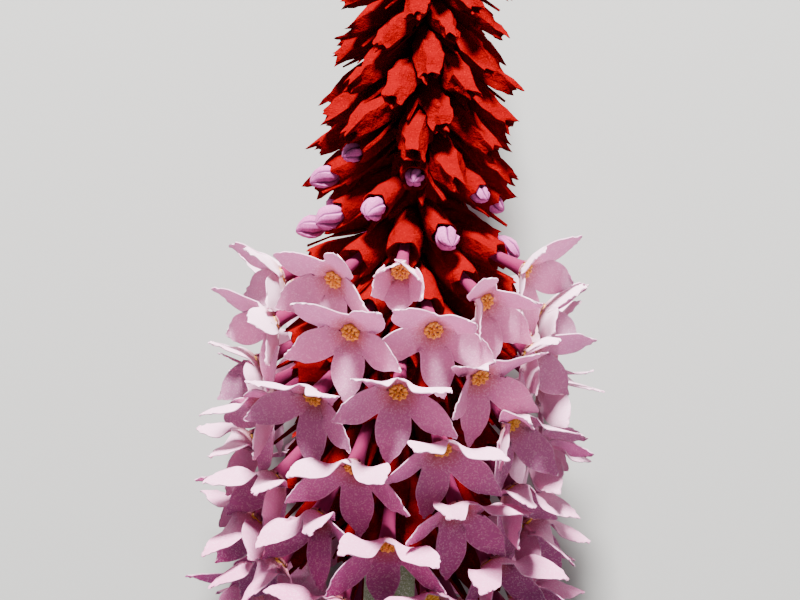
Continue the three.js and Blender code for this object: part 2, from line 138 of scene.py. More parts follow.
def stalk_tissue():
    """Living stalk: pale green, with faint fibres along it and specks of white meal that leave it matt."""
    material, shader = new_material("stalk tissue with meal", roughness=0.55)
    place = add(material, "ShaderNodeTexCoord").outputs["Object"]
    drawn = add(material, "ShaderNodeMapping", {"Vector": place, "Scale": (1, FIBRE_STRETCH, 1)}).outputs[0]
    fibres = add(material, "ShaderNodeTexNoise", {"Vector": drawn, "Scale": 1 / FIBRE_WIDTH}).outputs[0]
    green = add(material, "ShaderNodeMix", {0: fibres, 6: linear(SCAPE_SHADE), 7: linear(SCAPE_GREEN)},
                data_type="RGBA").outputs[2]
    grain = add(material, "ShaderNodeTexNoise", {"Vector": place, "Scale": 1 / MEAL_GRAIN}).outputs[0]
    specks = add(material, "ShaderNodeMapRange", {0: grain, 1: 0.5, 2: 0.68, 3: 0.12, 4: 0.8}).outputs[0]
    dusted = add(material, "ShaderNodeMix", {0: specks, 6: green, 7: linear(MEAL)},
                 data_type="RGBA").outputs[2]
    material.node_tree.links.new(dusted, shader.inputs["Base Color"])
    bump = add(material, "ShaderNodeBump", {"Height": grain, "Distance": MEAL_HEIGHT, "Strength": 0.5})
    material.node_tree.links.new(bump.outputs[0], shader.inputs["Normal"])
    return material


def cut_tissue():
    """The cut across the stalk: pale wet pith, with the ends of its fibres as a fine mesh."""
    material, shader = new_material("cut stalk", roughness=0.35)
    place = add(material, "ShaderNodeTexCoord").outputs["Object"]
    cells = add(material, "ShaderNodeTexVoronoi", {"Vector": place, "Scale": 1 / FIBRE_END}).outputs[0]
    pith = add(material, "ShaderNodeMix", {0: cells, 6: linear(CUT_PITH), 7: linear(SCAPE_SHADE)},
               data_type="RGBA").outputs[2]
    material.node_tree.links.new(pith, shader.inputs["Base Color"])
    return material


def scape_route():
    """The middle of the stalk at each station, read from the CAD's rings."""
    points = {tuple(round(c, 3) for c in FROM_FRAME @ p) for p in scape_points}
    points = [Vector(p) for p in sorted(points)]
    top = max(p.y for p in points)
    pitch = (top - min(p.y for p in points)) / SCAPE_STATIONS
    rings = [[p for p in points if round((top - p.y) / pitch) == i] for i in range(SCAPE_STATIONS + 1)]
    return [sum(ring, Vector()) / len(ring) for ring in rings]


def make_scape():
    route = scape_route()
    piece = start(bpy.ops.mesh.primitive_circle_add, vertices=20, radius=SCAPE_RADIUS, location=route[0],
                  rotation=(math.radians(90), 0, 0))
    for here, there in zip(route, route[1:]):
        bpy.ops.mesh.extrude_region_move(TRANSFORM_OT_translate={"value": there - here})
    bpy.ops.mesh.extrude_region_move()
    bpy.ops.transform.resize(value=(CUT_SHARE, 1, CUT_SHARE), center_override=route[-1])
    bpy.ops.mesh.edge_face_add()
    bpy.ops.mesh.inset(thickness=CUT_SKIN)
    bpy.ops.transform.translate(value=(0, CUT_HOLLOW, 0))
    bpy.ops.mesh.inset(thickness=CUT_RIND)
    close_edit(piece)
    round_off(piece, 2)
    bpy.ops.object.shade_smooth_by_angle(angle=math.radians(40))
    end = min(v.co.y for v in piece.data.vertices)
    for face in piece.data.polygons:
        on_the_cut = face.center.y < end + CUT_SKIN and abs(face.normal.y) > 0.9
        face.material_index = 1 if on_the_cut else 0
    return piece


scape = hand_over(make_scape(), "scape", "stem", stalk_tissue(), cut_tissue())
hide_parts("stem")

# Corollas. Each open flower is one petal tube of soft pink tissue, which ends in a flat disc with five broad
# pointed lobes round a golden eye. One is modelled flat, and each copy is laid along its own CAD corolla.
LOBES = 5
EYE_HEIGHT = 0.5
TUBE_IN_CALYX = 3.6  # of the tube's length, hidden at its foot
CAD_LOBE_ROOT = 0.8  # from the eye to where a lobe's line begins
CAD_STATIONS = (0, 0.4, 0.74, 1)  # of the four points of a lobe's line, as shares of its length
CAD_TUBE_RADIUS = 0.45
CAD_TUBE_SHORTEST = 3  # beyond the calyx
CAD_MOUTH_RADIUS = 1.05
CAD_MOUTH_DEPTH = 0.05
DISC_RADII = (0.9, 1.3, 1.75, 2.25)  # the lobes part at the last of these
DISC_COLUMNS = 6
LOBE_REACH = 7.1  # from the eye to a lobe's tip, along the lobe
# distance from the eye and half width
LOBE_ROWS = ((2.7, 1.42), (3.3, 1.53), (4.0, 1.56), (4.7, 1.44), (5.35, 1.17), (5.95, 0.8), (6.45, 0.44),
             (6.85, 0.17))
ROW_BOW = 0.7  # of each row, beside the row before it
TUBE_ROWS = ((-0.06, 0.6), (-0.3, 0.44), (-1, 0.3))  # share of the tube's length and radius
TUBE_TOP = -0.01  # what lies lower on the flat corolla is the tube
TUBE_COLOUR_TOP = -0.02
TOUCHING = 0.01  # points closer than this are at one place
SMALL_STEP = 0.01  # along a lobe's line, to see which way it runs
FIRST_TURN = (0.05, 0.45)  # shares of a lobe over which its way across turns
SECOND_TURN = (0.4, 0.8)
PETAL_THICKNESS = 0.09
PETAL_CUP = -0.07
PETAL_TWIST = 14  # degrees, either way
PETAL_WAVE = 0.16
PETAL_WAVES = 0.45  # in a millimetre
PETAL_STIFF = 4  # from the eye to where the waves are at their highest
PETAL_RAGGED = 0.24
PETAL_RAGS = 2.5  # in a millimetre
PETAL_RAGGED_PART = (4.5, 6.5)  # distance from the eye
PETAL_CHART_WIDTH = 3.2
# inner side high and low on the spike; the lower is deeper partly for age, partly as painted shade from the
# flowers above
PETAL_YOUNG_UNSHADED = "D08CB0"
PETAL_OLD_SHADED = "962A76"
# outer side painted paler than the inner, partly its own paler colour and partly painted highlight for the
# light on the lobes' backs
BACK_YOUNG_PAINTED_LIT = "EEBCD4"
BACK_OLD_PAINTED_LIT = "D2649E"
OLD_SHADED_HEIGHT = -4
YOUNG_UNSHADED_HEIGHT = 27
# pale colour of the painted glints and of the painted bright rim on the petals
PETAL_PAINTED_HIGHLIGHT = "F6D3E3"
THROAT_STAIN = "A2552A"
# the tube's own pink, darkened as painted shade where it sits among the flowers
TUBE_PINK_WITH_PAINTED_SHADE = "6E1440"
PAPILLA = 0.115 * MM  # from one to the next; the real ones are too fine to show
PAPILLA_HEIGHT = 0.03 * MM
OPEN_FLOWERS = sorted(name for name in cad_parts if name.startswith("corolla_"))
noise.seed_set(20)  # the same waves and dents each time


def stand_on(root, axis):
    """The place of what grows out from the spike: x to its right, y up the spike and z along its axis."""
    out = Vector((axis.x, 0, axis.z)).normalized()
    right = Vector((out.z, 0, -out.x))
    turned = Matrix((right, axis.cross(right), axis)).transposed()
    return Matrix.Translation(root) @ turned.to_4x4()


def smooth(value, low, high):
    """How far a value has come from low to high, from 0 to 1, with a soft start and end."""
    share = min(max((value - low) / (high - low), 0), 1)
    return share * share * (3 - 2 * share)


def joined_points(node):
    """The CAD node's points round the spike, each with all the points that its faces join it to."""
    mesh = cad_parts[node].data
    places = [tuple(round(c, 3) for c in FROM_FRAME @ v.co) for v in mesh.vertices]
    beside = {}
    for face in mesh.polygons:
        corners = [places[i] for i in face.vertices]
        for corner in corners:
            beside.setdefault(corner, set()).update(corners)
    return beside


def read_lobe(tip, beside, inwards):
    """The middle line of a CAD lobe, from the mouth to its tip, and the way across it in three places."""
    outer = beside[tip] - {tip}
    inner = set().union(*(beside[p] for p in outer)) - outer - {tip}
    end = inwards @ Vector(tip)
    way = end.xy.normalized()
    spine = [Vector((way.x, way.y, 0)) * CAD_LOBE_ROOT]
    ways = [Vector((way.y, -way.x, 0))]
    for ring in (inner, outer):
        ring = [inwards @ Vector(p) for p in sorted(ring)]
        spine.append(sum(ring, Vector()) / len(ring))
        left, right = max(itertools.combinations(ring, 2), key=lambda pair: (pair[1] - pair[0]).length)
        across = (right - left).normalized()
        ways.append(across if across.dot(ways[0]) > 0 else -across)
    return [*spine, end], ways


def clockwise(point, roll):
    """Degrees round the flower, from halfway before its lowest lobe."""
    return (math.degrees(math.atan2(point.x, point.y)) - roll - 180 + 180 / LOBES) % 360


def read_corolla(node):
    """The CAD corolla's place at its mouth, its tube's length, its roll and the lines of its lobes."""
    beside = joined_points(node)
    points = [Vector(p) for p in sorted(beside)]
    # the tube's foot is where most points stand close together
    crowds = [[q for q in points if (q - p).length < 2 * CAD_TUBE_RADIUS] for p in points]
    ring = max(crowds, key=len)
    foot = sum(ring, Vector()) / len(ring)
    axis = (ring[1] - ring[0]).cross(ring[2] - ring[0]).normalized()
    if axis.x * foot.x + axis.z * foot.z < 0:
        axis.negate()
    # the eye is the point beyond the tube that is nearest to its line
    beyond = [p for p in points if (p - foot).dot(axis) > CAD_TUBE_SHORTEST]
    eye = min(beyond, key=lambda p: (p - foot).cross(axis).length)
    axis = (eye - foot).normalized()
    place = stand_on(eye - axis * EYE_HEIGHT, axis)
    inwards = place.inverted()
    level = [p for p in (inwards @ q for q in points) if abs(p.z) < CAD_MOUTH_DEPTH]
    mouth = [p for p in level if p.xy.length < CAD_MOUTH_RADIUS]
    # the mouth's corners lie halfway between the lobes
    half_lobe = 180 / LOBES
    turn = math.degrees(math.atan2(mouth[0].x, mouth[0].y))
    roll = (turn - 180) % (2 * half_lobe) - half_lobe
    away = [p for p in beside if (Vector(p) - foot).length > TUBE_IN_CALYX]
    tips = sorted(away, key=lambda p: (Vector(p) - place.translation).length)[-LOBES:]
    tips.sort(key=lambda p: clockwise(inwards @ Vector(p), roll))
    lobes = [read_lobe(tip, beside, inwards) for tip in tips]
    return {"place": place, "foot": foot, "axis": axis, "roll": math.radians(roll), "lobes": lobes,
            "tube": (foot - place.translation).length}


def lay_lobe(lobe, reach, aside, lift, twist):
    """A point of the flat lobe, laid along the CAD lobe's line: a cubic curve through its four points."""
    spine, ways = lobe
    share = (reach - CAD_LOBE_ROOT) / (LOBE_REACH - CAD_LOBE_ROOT)

    def along(s):
        at = Vector()
        for i, point in enumerate(spine):
            others = [t for j, t in enumerate(CAD_STATIONS) if j != i]
            weight = math.prod((s - t) / (CAD_STATIONS[i] - t) for t in others)
            at += point * weight
        return at

    onwards = (along(share + SMALL_STEP) - along(share - SMALL_STEP)).normalized()
    across = ways[0].lerp(ways[1], smooth(share, *FIRST_TURN)).lerp(ways[2], smooth(share, *SECOND_TURN))
    across = Matrix.Rotation(math.radians(twist) * max(share, 0), 3, onwards) @ across
    front = across.cross(onwards).normalized()
    return along(share) + onwards.cross(front) * aside - front * lift


def pick_edges(piece, test):
    """Selects the edges of a piece in edit mode that pass a test."""
    bpy.ops.mesh.select_mode(type="EDGE")
    bpy.ops.mesh.select_all(action="DESELECT")
    shape = bmesh.from_edit_mesh(piece.data)
    for edge in shape.edges:
        edge.select_set(test(edge))
    bmesh.update_edit_mesh(piece.data)


def picked_points(piece):
    """The places of what is selected in edit mode."""
    return [v.co.copy() for v in bmesh.from_edit_mesh(piece.data).verts if v.select]


def flat_corolla():
    """One fifth is a wedge of the disc with its lobe; five are joined round the eye, over the tube."""
    steps = len(DISC_RADII) - 1
    piece = start(bpy.ops.mesh.primitive_grid_add, x_subdivisions=steps, y_subdivisions=DISC_COLUMNS, size=2)
    shape = bmesh.from_edit_mesh(piece.data)
    for v in shape.verts:
        row = round((v.co.x + 1) / 2 * steps)
        turn = v.co.y * math.pi / LOBES
        v.co = Vector((math.cos(turn), math.sin(turn), 0)) * DISC_RADII[row]
    bmesh.update_edit_mesh(piece.data)
    pick_edges(piece, lambda e: all(v.co.length > DISC_RADII[-1] - TOUCHING for v in e.verts))
    for reach, half_width in LOBE_ROWS:
        bpy.ops.mesh.extrude_region_move()
        row = picked_points(piece)
        onwards = reach - sum(p.x for p in row) / len(row)
        wider = half_width / max(p.y for p in row)
        bpy.ops.transform.translate(value=(onwards, 0, 0))
        bpy.ops.transform.resize(value=(ROW_BOW, wider, 1), center_override=(reach, 0, 0))
    tip = LOBE_REACH - LOBE_ROWS[-1][0]
    bpy.ops.mesh.extrude_region_move(TRANSFORM_OT_translate={"value": (tip, 0, 0)})
    bpy.ops.mesh.merge(type="CENTER")
    bpy.ops.mesh.select_all(action="SELECT")
    bpy.ops.mesh.spin(steps=LOBES, dupli=True, angle=math.tau, center=(0, 0, 0), axis=(0, 0, 1))
    bpy.ops.mesh.select_all(action="SELECT")
    bpy.ops.mesh.remove_doubles(threshold=TOUCHING)
    rim = DISC_RADII[0]
    for deep, radius in TUBE_ROWS:
        pick_edges(piece, lambda e: e.is_boundary and all(v.co.xy.length < rim + TOUCHING for v in e.verts))
        bpy.ops.mesh.extrude_region_move()
        bpy.ops.transform.resize(value=(radius / rim, radius / rim, 1), center_override=(0, 0, 0))
        down = deep - max(p.z for p in picked_points(piece))
        bpy.ops.transform.translate(value=(0, 0, down))
        rim = radius
    bpy.ops.mesh.select_all(action="SELECT")
    bpy.ops.mesh.normals_make_consistent(inside=False)
    close_edit(piece)
    round_off(piece, 1)
    return piece


def note_petal(piece):
    """Keeps what the petals' colours follow: distance from the eye and to the side, the margin, the tube."""
    chart = piece.data.uv_layers.new(name="petal")
    margin = piece.data.attributes.new("margin", "FLOAT", "POINT")
    tube = piece.data.attributes.new("tube", "FLOAT", "POINT")
    lobe_turn = math.tau / LOBES
    edges = bmesh.new()
    edges.from_mesh(piece.data)
    for v in edges.verts:
        margin.data[v.index].value = 1 if v.is_boundary and v.co.z > TUBE_TOP else 0
        tube.data[v.index].value = 1 if v.co.z < TUBE_COLOUR_TOP else 0
    edges.free()
    for face in piece.data.polygons:
        side = math.atan2(face.center.y, face.center.x)
        lobe = round(side / lobe_turn) * lobe_turn
        for corner in face.loop_indices:
            at = piece.data.vertices[piece.data.loops[corner].vertex_index].co
            aside = at.y * math.cos(lobe) - at.x * math.sin(lobe)
            chart.data[corner].uv = (at.xy.length / LOBE_REACH, 0.5 + aside / PETAL_CHART_WIDTH)


def bring_in(name, mesh):
    """Adds a mesh to the scene as a piece, the only one that is selected."""
    piece = bpy.data.objects.new(name, mesh)
    bpy.context.collection.objects.link(piece)
    bpy.ops.object.select_all(action="DESELECT")
    bpy.context.view_layer.objects.active = piece
    piece.select_set(True)
    return piece


def thicken(piece, thickness, offset, back=0):
    """Gives a flat piece a body. Its other side gets the material that comes this many after its own."""
    body = piece.modifiers.new("body", "SOLIDIFY")
    body.thickness = thickness
    body.offset = offset
    body.material_offset = back
    bpy.ops.object.modifier_apply(modifier="body")


def lay_corolla(model, name, cad):
    """A copy of the flat corolla, laid along one CAD corolla, with soft waves of its own."""
    mesh = model.data.copy()
    half_lobe = math.pi / LOBES
    twists = [PETAL_TWIST * noise.noise(cad["place"] @ lobe[0][3]) * 2 for lobe in cad["lobes"]]
    at_margin = [m.value > 0.5 for m in mesh.attributes["margin"].data]
    for v in mesh.vertices:
        reach = v.co.xy.length
        turn = math.atan2(v.co.y, v.co.x)
        if v.co.z < TUBE_TOP:
            side = turn + cad["roll"]
            v.co = (math.sin(side) * reach, math.cos(side) * reach, v.co.z * cad["tube"])
            continue
        k = round(turn / (2 * half_lobe)) % LOBES
        off = (turn - k * 2 * half_lobe + math.pi) % math.tau - math.pi
        cup = PETAL_CUP * (reach * math.sin(off)) ** 2
        laid = lay_lobe(cad["lobes"][k], reach * math.cos(off), reach * math.sin(off), cup, twists[k])
        if reach < DISC_RADII[-1] + TOUCHING and abs(off) > 0.5 * half_lobe:
            beside = (k + (1 if off > 0 else -1)) % LOBES
            back = off - math.copysign(2 * half_lobe, off)
            other = lay_lobe(cad["lobes"][beside], reach * math.cos(back), reach * math.sin(back), cup,
                             twists[beside])
            laid = laid.lerp(other, abs(off) / half_lobe - 0.5)
        at = cad["place"] @ laid
        wave = noise.noise_vector(at * PETAL_WAVES) * PETAL_WAVE * min(reach / PETAL_STIFF, 1)
        if at_margin[v.index]:
            rags = noise.noise_vector(at * PETAL_RAGS)
            wave += rags * PETAL_RAGGED * smooth(reach, *PETAL_RAGGED_PART)
        v.co = laid + wave
    mesh.transform(cad["place"])
    # laying the lobes can turn a flower inside out
    if sum(face.normal.dot(cad["axis"]) * face.area for face in mesh.polygons) < 0:
        mesh.flip_normals()
    return bring_in(name, mesh)


def petal_tissue(name, young_unshaded, old_shaded):
    """Living petal: velvety with papillae, some painted as fine pale dots for their glints, with a pale rim
    painted along the thin margin for the light that it lets through.

    The flowers low on the spike are the oldest and the deepest in colour, partly for their age and partly as
    painted shade from the flowers above them.
    """
    material, shader = new_material(name, roughness=0.85)
    shader.inputs["Specular IOR Level"].default_value = 0.2
    shader.inputs["Subsurface Weight"].default_value = 0.2
    shader.inputs["Subsurface Radius"].default_value = (1, 0.6, 0.8)
    shader.inputs["Subsurface Scale"].default_value = 0.8 * MM
    place = add(material, "ShaderNodeTexCoord").outputs["Object"]
    height = add(material, "ShaderNodeSeparateXYZ", {0: place}).outputs[1]
    low, high = (TO_FRAME @ Vector((0, h, 0)) for h in (OLD_SHADED_HEIGHT, YOUNG_UNSHADED_HEIGHT))
    # deeper down the spike: partly age, partly painted shade from the flowers above
    age_and_shade = add(material, "ShaderNodeMapRange", {0: height, 1: low.y, 2: high.y}).outputs[0]
    colour = add(material, "ShaderNodeMix", {0: age_and_shade, 6: linear(old_shaded), 7: linear(young_unshaded)},
                 data_type="RGBA").outputs[2]
    cells = add(material, "ShaderNodeTexVoronoi", {"Vector": place, "Scale": 1 / PAPILLA})
    chance = add(material, "ShaderNodeSeparateColor", {0: cells.outputs["Color"]}).outputs[0]
    # painted highlight: a pale dot on some papillae stands in for their glint
    painted_glints = add(material, "ShaderNodeMapRange", {0: chance, 1: 0.6, 2: 1, 3: 0, 4: 0.28}).outputs[0]
    glinted = add(material, "ShaderNodeMix", {0: painted_glints, 6: colour, 7: linear(PETAL_PAINTED_HIGHLIGHT)},
                 data_type="RGBA").outputs[2]
    margin = add(material, "ShaderNodeAttribute", attribute_name="margin").outputs["Fac"]
    # painted highlight: a pale rim along the margin, for light caught and let through there
    painted_rim = add(material, "ShaderNodeMapRange", {0: margin, 1: 0.5, 2: 1, 3: 0, 4: 0.22}).outputs[0]
    rim_lit = add(material, "ShaderNodeMix", {0: painted_rim, 6: glinted, 7: linear(PETAL_PAINTED_HIGHLIGHT)},
                 data_type="RGBA").outputs[2]
    chart = add(material, "ShaderNodeUVMap", uv_map="petal").outputs[0]
    reach = add(material, "ShaderNodeSeparateXYZ", {0: chart}).outputs[0]
    ragged = add(material, "ShaderNodeMath", {0: chance, 1: 0.06, 2: reach},
                 operation="MULTIPLY_ADD").outputs[0]
    stain = add(material, "ShaderNodeMapRange", {0: ragged, 1: 0.15, 2: 0.36, 3: 0.7, 4: 0}).outputs[0]
    stained = add(material, "ShaderNodeMix", {0: stain, 6: rim_lit, 7: linear(THROAT_STAIN)},
                  data_type="RGBA").outputs[2]
    # the tube: its own pink, darkened as painted shade
    tube = add(material, "ShaderNodeAttribute", attribute_name="tube").outputs["Fac"]
    tubed = add(material, "ShaderNodeMix", {0: tube, 6: stained, 7: linear(TUBE_PINK_WITH_PAINTED_SHADE)},
                data_type="RGBA").outputs[2]
    material.node_tree.links.new(tubed, shader.inputs["Base Color"])
    bump = add(material, "ShaderNodeBump", {"Height": cells.outputs["Distance"], "Distance": PAPILLA_HEIGHT,
                                            "Strength": 0.5}, invert=True)
    material.node_tree.links.new(bump.outputs[0], shader.inputs["Normal"])
    return material


petal_front = petal_tissue("petal, inner side", PETAL_YOUNG_UNSHADED, PETAL_OLD_SHADED)
# the outer side is painted paler than the inner: partly its own colour, partly painted highlight for the
# light falling on the lobes' backs
petal_back_painted_lit = petal_tissue("petal, outer side painted as lit", BACK_YOUNG_PAINTED_LIT, BACK_OLD_PAINTED_LIT)
corolla_model = flat_corolla()
note_petal(corolla_model)
corollas = {node: read_corolla(node) for node in OPEN_FLOWERS}
for node, cad in corollas.items():
    corolla = lay_corolla(corolla_model, node + "_petals", cad)
    hand_over(corolla, node + "_petals", "corolla", petal_front, petal_back_painted_lit)
    thicken(corolla, PETAL_THICKNESS * MM, offset=-1, back=1)
    bpy.ops.object.shade_smooth_by_angle(angle=math.radians(50))
    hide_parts(node)
bpy.data.objects.remove(corolla_model)

# Core of the spike. The upper end of the stalk, crimson like the calyces that it carries, tapering to the
# tip. A disc is drawn up from the top of the scape, station by station.
SPIKE_BASE = 5.2
SPIKE_TIP = 73
CORE_RADIUS = 2.4
CORE_TAPER = 0.78  # share of the radius that is gone at the tip
CORE_SHOULDER = 2.6  # the higher, the later it tapers
CORE_STATIONS = 16
CALYX_RED = "680005"
CALYX_DEEP = "640004"
# brighter red of the painted glints on the calyces
CALYX_PAINTED_GLINT = "A00A08"
CALYX_MEAL = "7A1412"
CALYX_TIP = "C0403A"
CALYX_MOTTLE = 1.5 * MM
CALYX_GRAIN = 0.14 * MM
CALYX_WRINKLE = 0.9 * MM
CALYX_RELIEF = 0.08 * MM
WRINKLES_BESIDE_GRAIN = 5


def core_radius(height):
    share = min(max((height - SPIKE_BASE) / (SPIKE_TIP - SPIKE_BASE), 0), 1)
    return CORE_RADIUS * (1 - CORE_TAPER * share**CORE_SHOULDER)


def calyx_tissue():
    """Calyx: matt crimson tissue with a fine painted sparkle of brighter red specks for its glints, mealy at
    its shoulders and rosy at its tips.
    """
    material, shader = new_material("calyx tissue", roughness=0.9)
    shader.inputs["Specular IOR Level"].default_value = 0
    place = add(material, "ShaderNodeTexCoord").outputs["Object"]
    broad = add(material, "ShaderNodeTexNoise", {"Vector": place, "Scale": 1 / CALYX_MOTTLE}).outputs[0]
    mottled = add(material, "ShaderNodeMapRange", {0: broad, 1: 0.35, 2: 0.65}).outputs[0]
    red = add(material, "ShaderNodeMix", {0: mottled, 6: linear(CALYX_DEEP), 7: linear(CALYX_RED)},
              data_type="RGBA").outputs[2]
    grain = add(material, "ShaderNodeTexNoise", {"Vector": place, "Scale": 1 / CALYX_GRAIN,
                                                 "Detail": 1}).outputs[0]
    # painted highlight: brighter red specks stand in for glints on the fine hairs
    calyx_glint = add(material, "ShaderNodeMapRange", {0: grain, 1: 0.58, 2: 0.78, 3: 0, 4: 0.5}).outputs[0]
    glinted_red = add(material, "ShaderNodeMix", {0: calyx_glint, 6: red, 7: linear(CALYX_PAINTED_GLINT)},
                    data_type="RGBA").outputs[2]
    shoulder = add(material, "ShaderNodeAttribute", attribute_name="shoulder").outputs["Fac"]
    patchy = add(material, "ShaderNodeMapRange", {0: grain, 1: 0.42, 2: 0.7, 3: 0, 4: 0.7}).outputs[0]
    mealy = add(material, "ShaderNodeMath", {0: shoulder, 1: patchy}, operation="MULTIPLY").outputs[0]
    dusted = add(material, "ShaderNodeMix", {0: mealy, 6: glinted_red, 7: linear(CALYX_MEAL)},
                 data_type="RGBA").outputs[2]
    tip = add(material, "ShaderNodeAttribute", attribute_name="tip").outputs["Fac"]
    tipped = add(material, "ShaderNodeMix", {0: tip, 6: dusted, 7: linear(CALYX_TIP)},
                 data_type="RGBA").outputs[2]
    wrinkles = add(material, "ShaderNodeTexNoise", {"Vector": place, "Scale": 1 / CALYX_WRINKLE,
                                                    "Detail": 3}).outputs[0]
    uneven = add(material, "ShaderNodeMath", {0: wrinkles, 1: WRINKLES_BESIDE_GRAIN, 2: grain},
                 operation="MULTIPLY_ADD").outputs[0]
    material.node_tree.links.new(tipped, shader.inputs["Base Color"])
    bump = add(material, "ShaderNodeBump", {"Height": uneven, "Distance": CALYX_RELIEF, "Strength": 0.9})
    material.node_tree.links.new(bump.outputs[0], shader.inputs["Normal"])
    return material


def make_core():
    pitch = (SPIKE_TIP - JOINT_HEIGHT) / CORE_STATIONS
    piece = start(bpy.ops.mesh.primitive_circle_add, vertices=16, radius=core_radius(JOINT_HEIGHT),
                  fill_type="NGON", location=(0, JOINT_HEIGHT, 0), rotation=(math.radians(-90), 0, 0))
    for i in range(CORE_STATIONS):
        low = JOINT_HEIGHT + i * pitch
        high = low + pitch
        slimmer = core_radius(high) / core_radius(low)
        bpy.ops.mesh.extrude_region_move(TRANSFORM_OT_translate={"value": (0, pitch, 0)})
        bpy.ops.transform.resize(value=(slimmer, 1, slimmer), center_override=(0, high, 0))
    bpy.ops.mesh.select_all(action="SELECT")
    bpy.ops.mesh.normals_make_consistent(inside=False)
    return close_edit(piece)


red_tissue = calyx_tissue()
hand_over(make_core(), "spike_core", "calyx", red_tissue)

# Calyces. Crimson cups on short stalks, keeled along five ribs that end in ragged pointed teeth. The shut
# ones, packed up the spike, are pressed flat towards their teeth. The open ones hold a flower's tube or a
# lilac bud. Each kind is drawn out ring by ring, copied to its places and then crumpled.
CALYX_ROOT = -0.9
CALYX_STALK = 0.42
CALYX_SHOULDER = (0.5, 2)  # where it is dusted with meal
ROSY_PART = (0.8, 2)  # of a tooth, beyond the rim
ROSY_SHARE = 0.55
TOOTH_BACK = 0.3  # how far its inner face starts below half the tooth
THROAT_FLARE = 0.15
THROAT_DEPTH = 1.6
# distance from the core, radius at the ribs and between them
SHUT_ROWS = ((0.7, 0.5, 0.48), (1.5, 1.3, 0.9), (2.8, 1.85, 1.2), (4.4, 1.95, 1.25), (6.0, 1.85, 1.0),
             (7.3, 1.6, 0.65))
OPEN_ROWS = ((0.7, 0.5, 0.48), (1.4, 0.95, 0.85), (2.4, 1.3, 1.1), (4.0, 1.6, 1.35), (5.6, 1.7, 1.45))
# how far each rib and each notch after it goes beyond the rim
SHUT_TEETH = (
    (2.6, 0.1, 1.5, 0.5, 2.0, 0.0, 1.1, 0.4, 1.9, 0.2),
    (1.4, 0.4, 2.8, 0.1, 1.0, 0.5, 2.1, 0.0, 1.6, 0.6),
    (2.2, 0.6, 1.7, 0.1, 1.3, 0.2, 2.7, 0.5, 1.1, 0.0),
    (3.0, 0.0, 1.3, 0.5, 1.7, 0.7, 2.0, 0.1, 2.2, 0.3),
    (1.7, 0.2, 2.2, 0.0, 2.6, 0.3, 1.2, 0.6, 1.9, 0.1),
)
OPEN_TEETH = (
    (1.8, 0.1, 1.5, 0.3, 1.9, 0.0, 1.4, 0.2, 1.7, 0.1),
    (1.5, 0.2, 1.9, 0.0, 1.3, 0.2, 1.8, 0.1, 1.6, 0.3),
)
SHUT_TIP_RADIUS = 1.35
OPEN_TIP_RADIUS = 1.42
SHUT_THROAT = 0.3
OPEN_THROAT = 0.95
SHUT_PRESSED = ((3.5, 1), (6.8, 0.68), (9.0, 0.4))  # distance from the core and share of the height left
OPEN_LENGTH = 7.4  # of an open calyx as it is modelled, to the tips of its teeth
MOUTH_CLEAR = 0.2  # from the teeth of an open calyx to the flower's mouth
SHUT_CRUMPLE = 0.36
OPEN_CRUMPLE = 0.2
DENTS = 0.9  # in a millimetre
BENDS = 0.3
# how much wider and longer a calyx is drawn than its model
SHUT_WIDER = 1.08
SHUT_LONGER = 1.3
FLOWER_CALYX_WIDER = 1.06
BUD_CALYX_WIDER = 0.86
BUD_CALYX_LONGER = 8.6 / OPEN_LENGTH
SHUT_ROLL = 25  # degrees, either way
SHUT_ROLL_STEP = 1.9  # radians of a wave, from one calyx to the next
GOLDEN_ANGLE = 137.508
# turn round the spike, height, nod, and how far each bud is out of its calyx
LILAC_BUDS = [
    (-80, 41.2, 28, 0.9),
    (-49, 43.1, 28, 0.6),
    (-25, 38.4, 28, 0.9),
    (-60, 37.6, 28, 1),
    (-90, 35.6, 18, 1),
    (23, 36.2, 28, 0.9),
    (85, 35.7, 26, 1),
    (88, 39.3, 28, 0.5),
]
BUD_TOP = 41
BUD_BOTTOM = 35.6
BUD_STEP = 0.3  # down the spiral
BUD_CIRCLE = 10
BUD_SPACING = 3.9
BUD_NOD = 28
BUD_LEAST_OUT = 0.5
SHUT_COUNT = 104
SHUT_BOTTOM = 36.6
SHUT_TOP = SPIKE_TIP - 1.5
SHUT_CROWDING = 0.86  # under 1, they stand closer towards the tip
SHUT_FIRST_TURN = 40
SHUT_CIRCLE = 4
SHUT_SPACING = 2
SHUT_NODS = (35, -62)  # of the lowest and of the highest
SHUT_RISE_FROM = 0.45  # share of the way up to where they begin to stand up
SHUT_RISE_LATE = 1.3
SHUT_SHRINK = 0.7  # share of the size that is gone at the tip
SHUT_SHRINK_LATE = 1.6  # the higher, the later they shrink
SHUT_SIZE_VARIES = 0.05
SHUT_NOD_VARIES = 4
SHUT_TURN_VARIES = 5
FIRST_STATE = 20  # of the draws, as in the source of the solids
FLOWERS_BY_HAND = 33  # two draws each, and four for each of the others
DRAWS_BEFORE = 2 * FLOWERS_BY_HAND + 4 * (len(OPEN_FLOWERS) - FLOWERS_BY_HAND)


def draw_ring(piece, rule):
    """Extrudes the selected ring; each new vertex goes where the rule says for its number round the ring."""
    bpy.ops.mesh.extrude_region_move()
    shape = bmesh.from_edit_mesh(piece.data)
    ring = [v for v in shape.verts if v.select]
    for v in ring:
        number = round(math.degrees(math.atan2(v.co.x, v.co.y)) / 360 * len(ring)) % len(ring)
        away, along = rule(number)
        side = math.tau * number / len(ring)
        v.co = (math.sin(side) * away, math.cos(side) * away, along)
    bmesh.update_edit_mesh(piece.data)


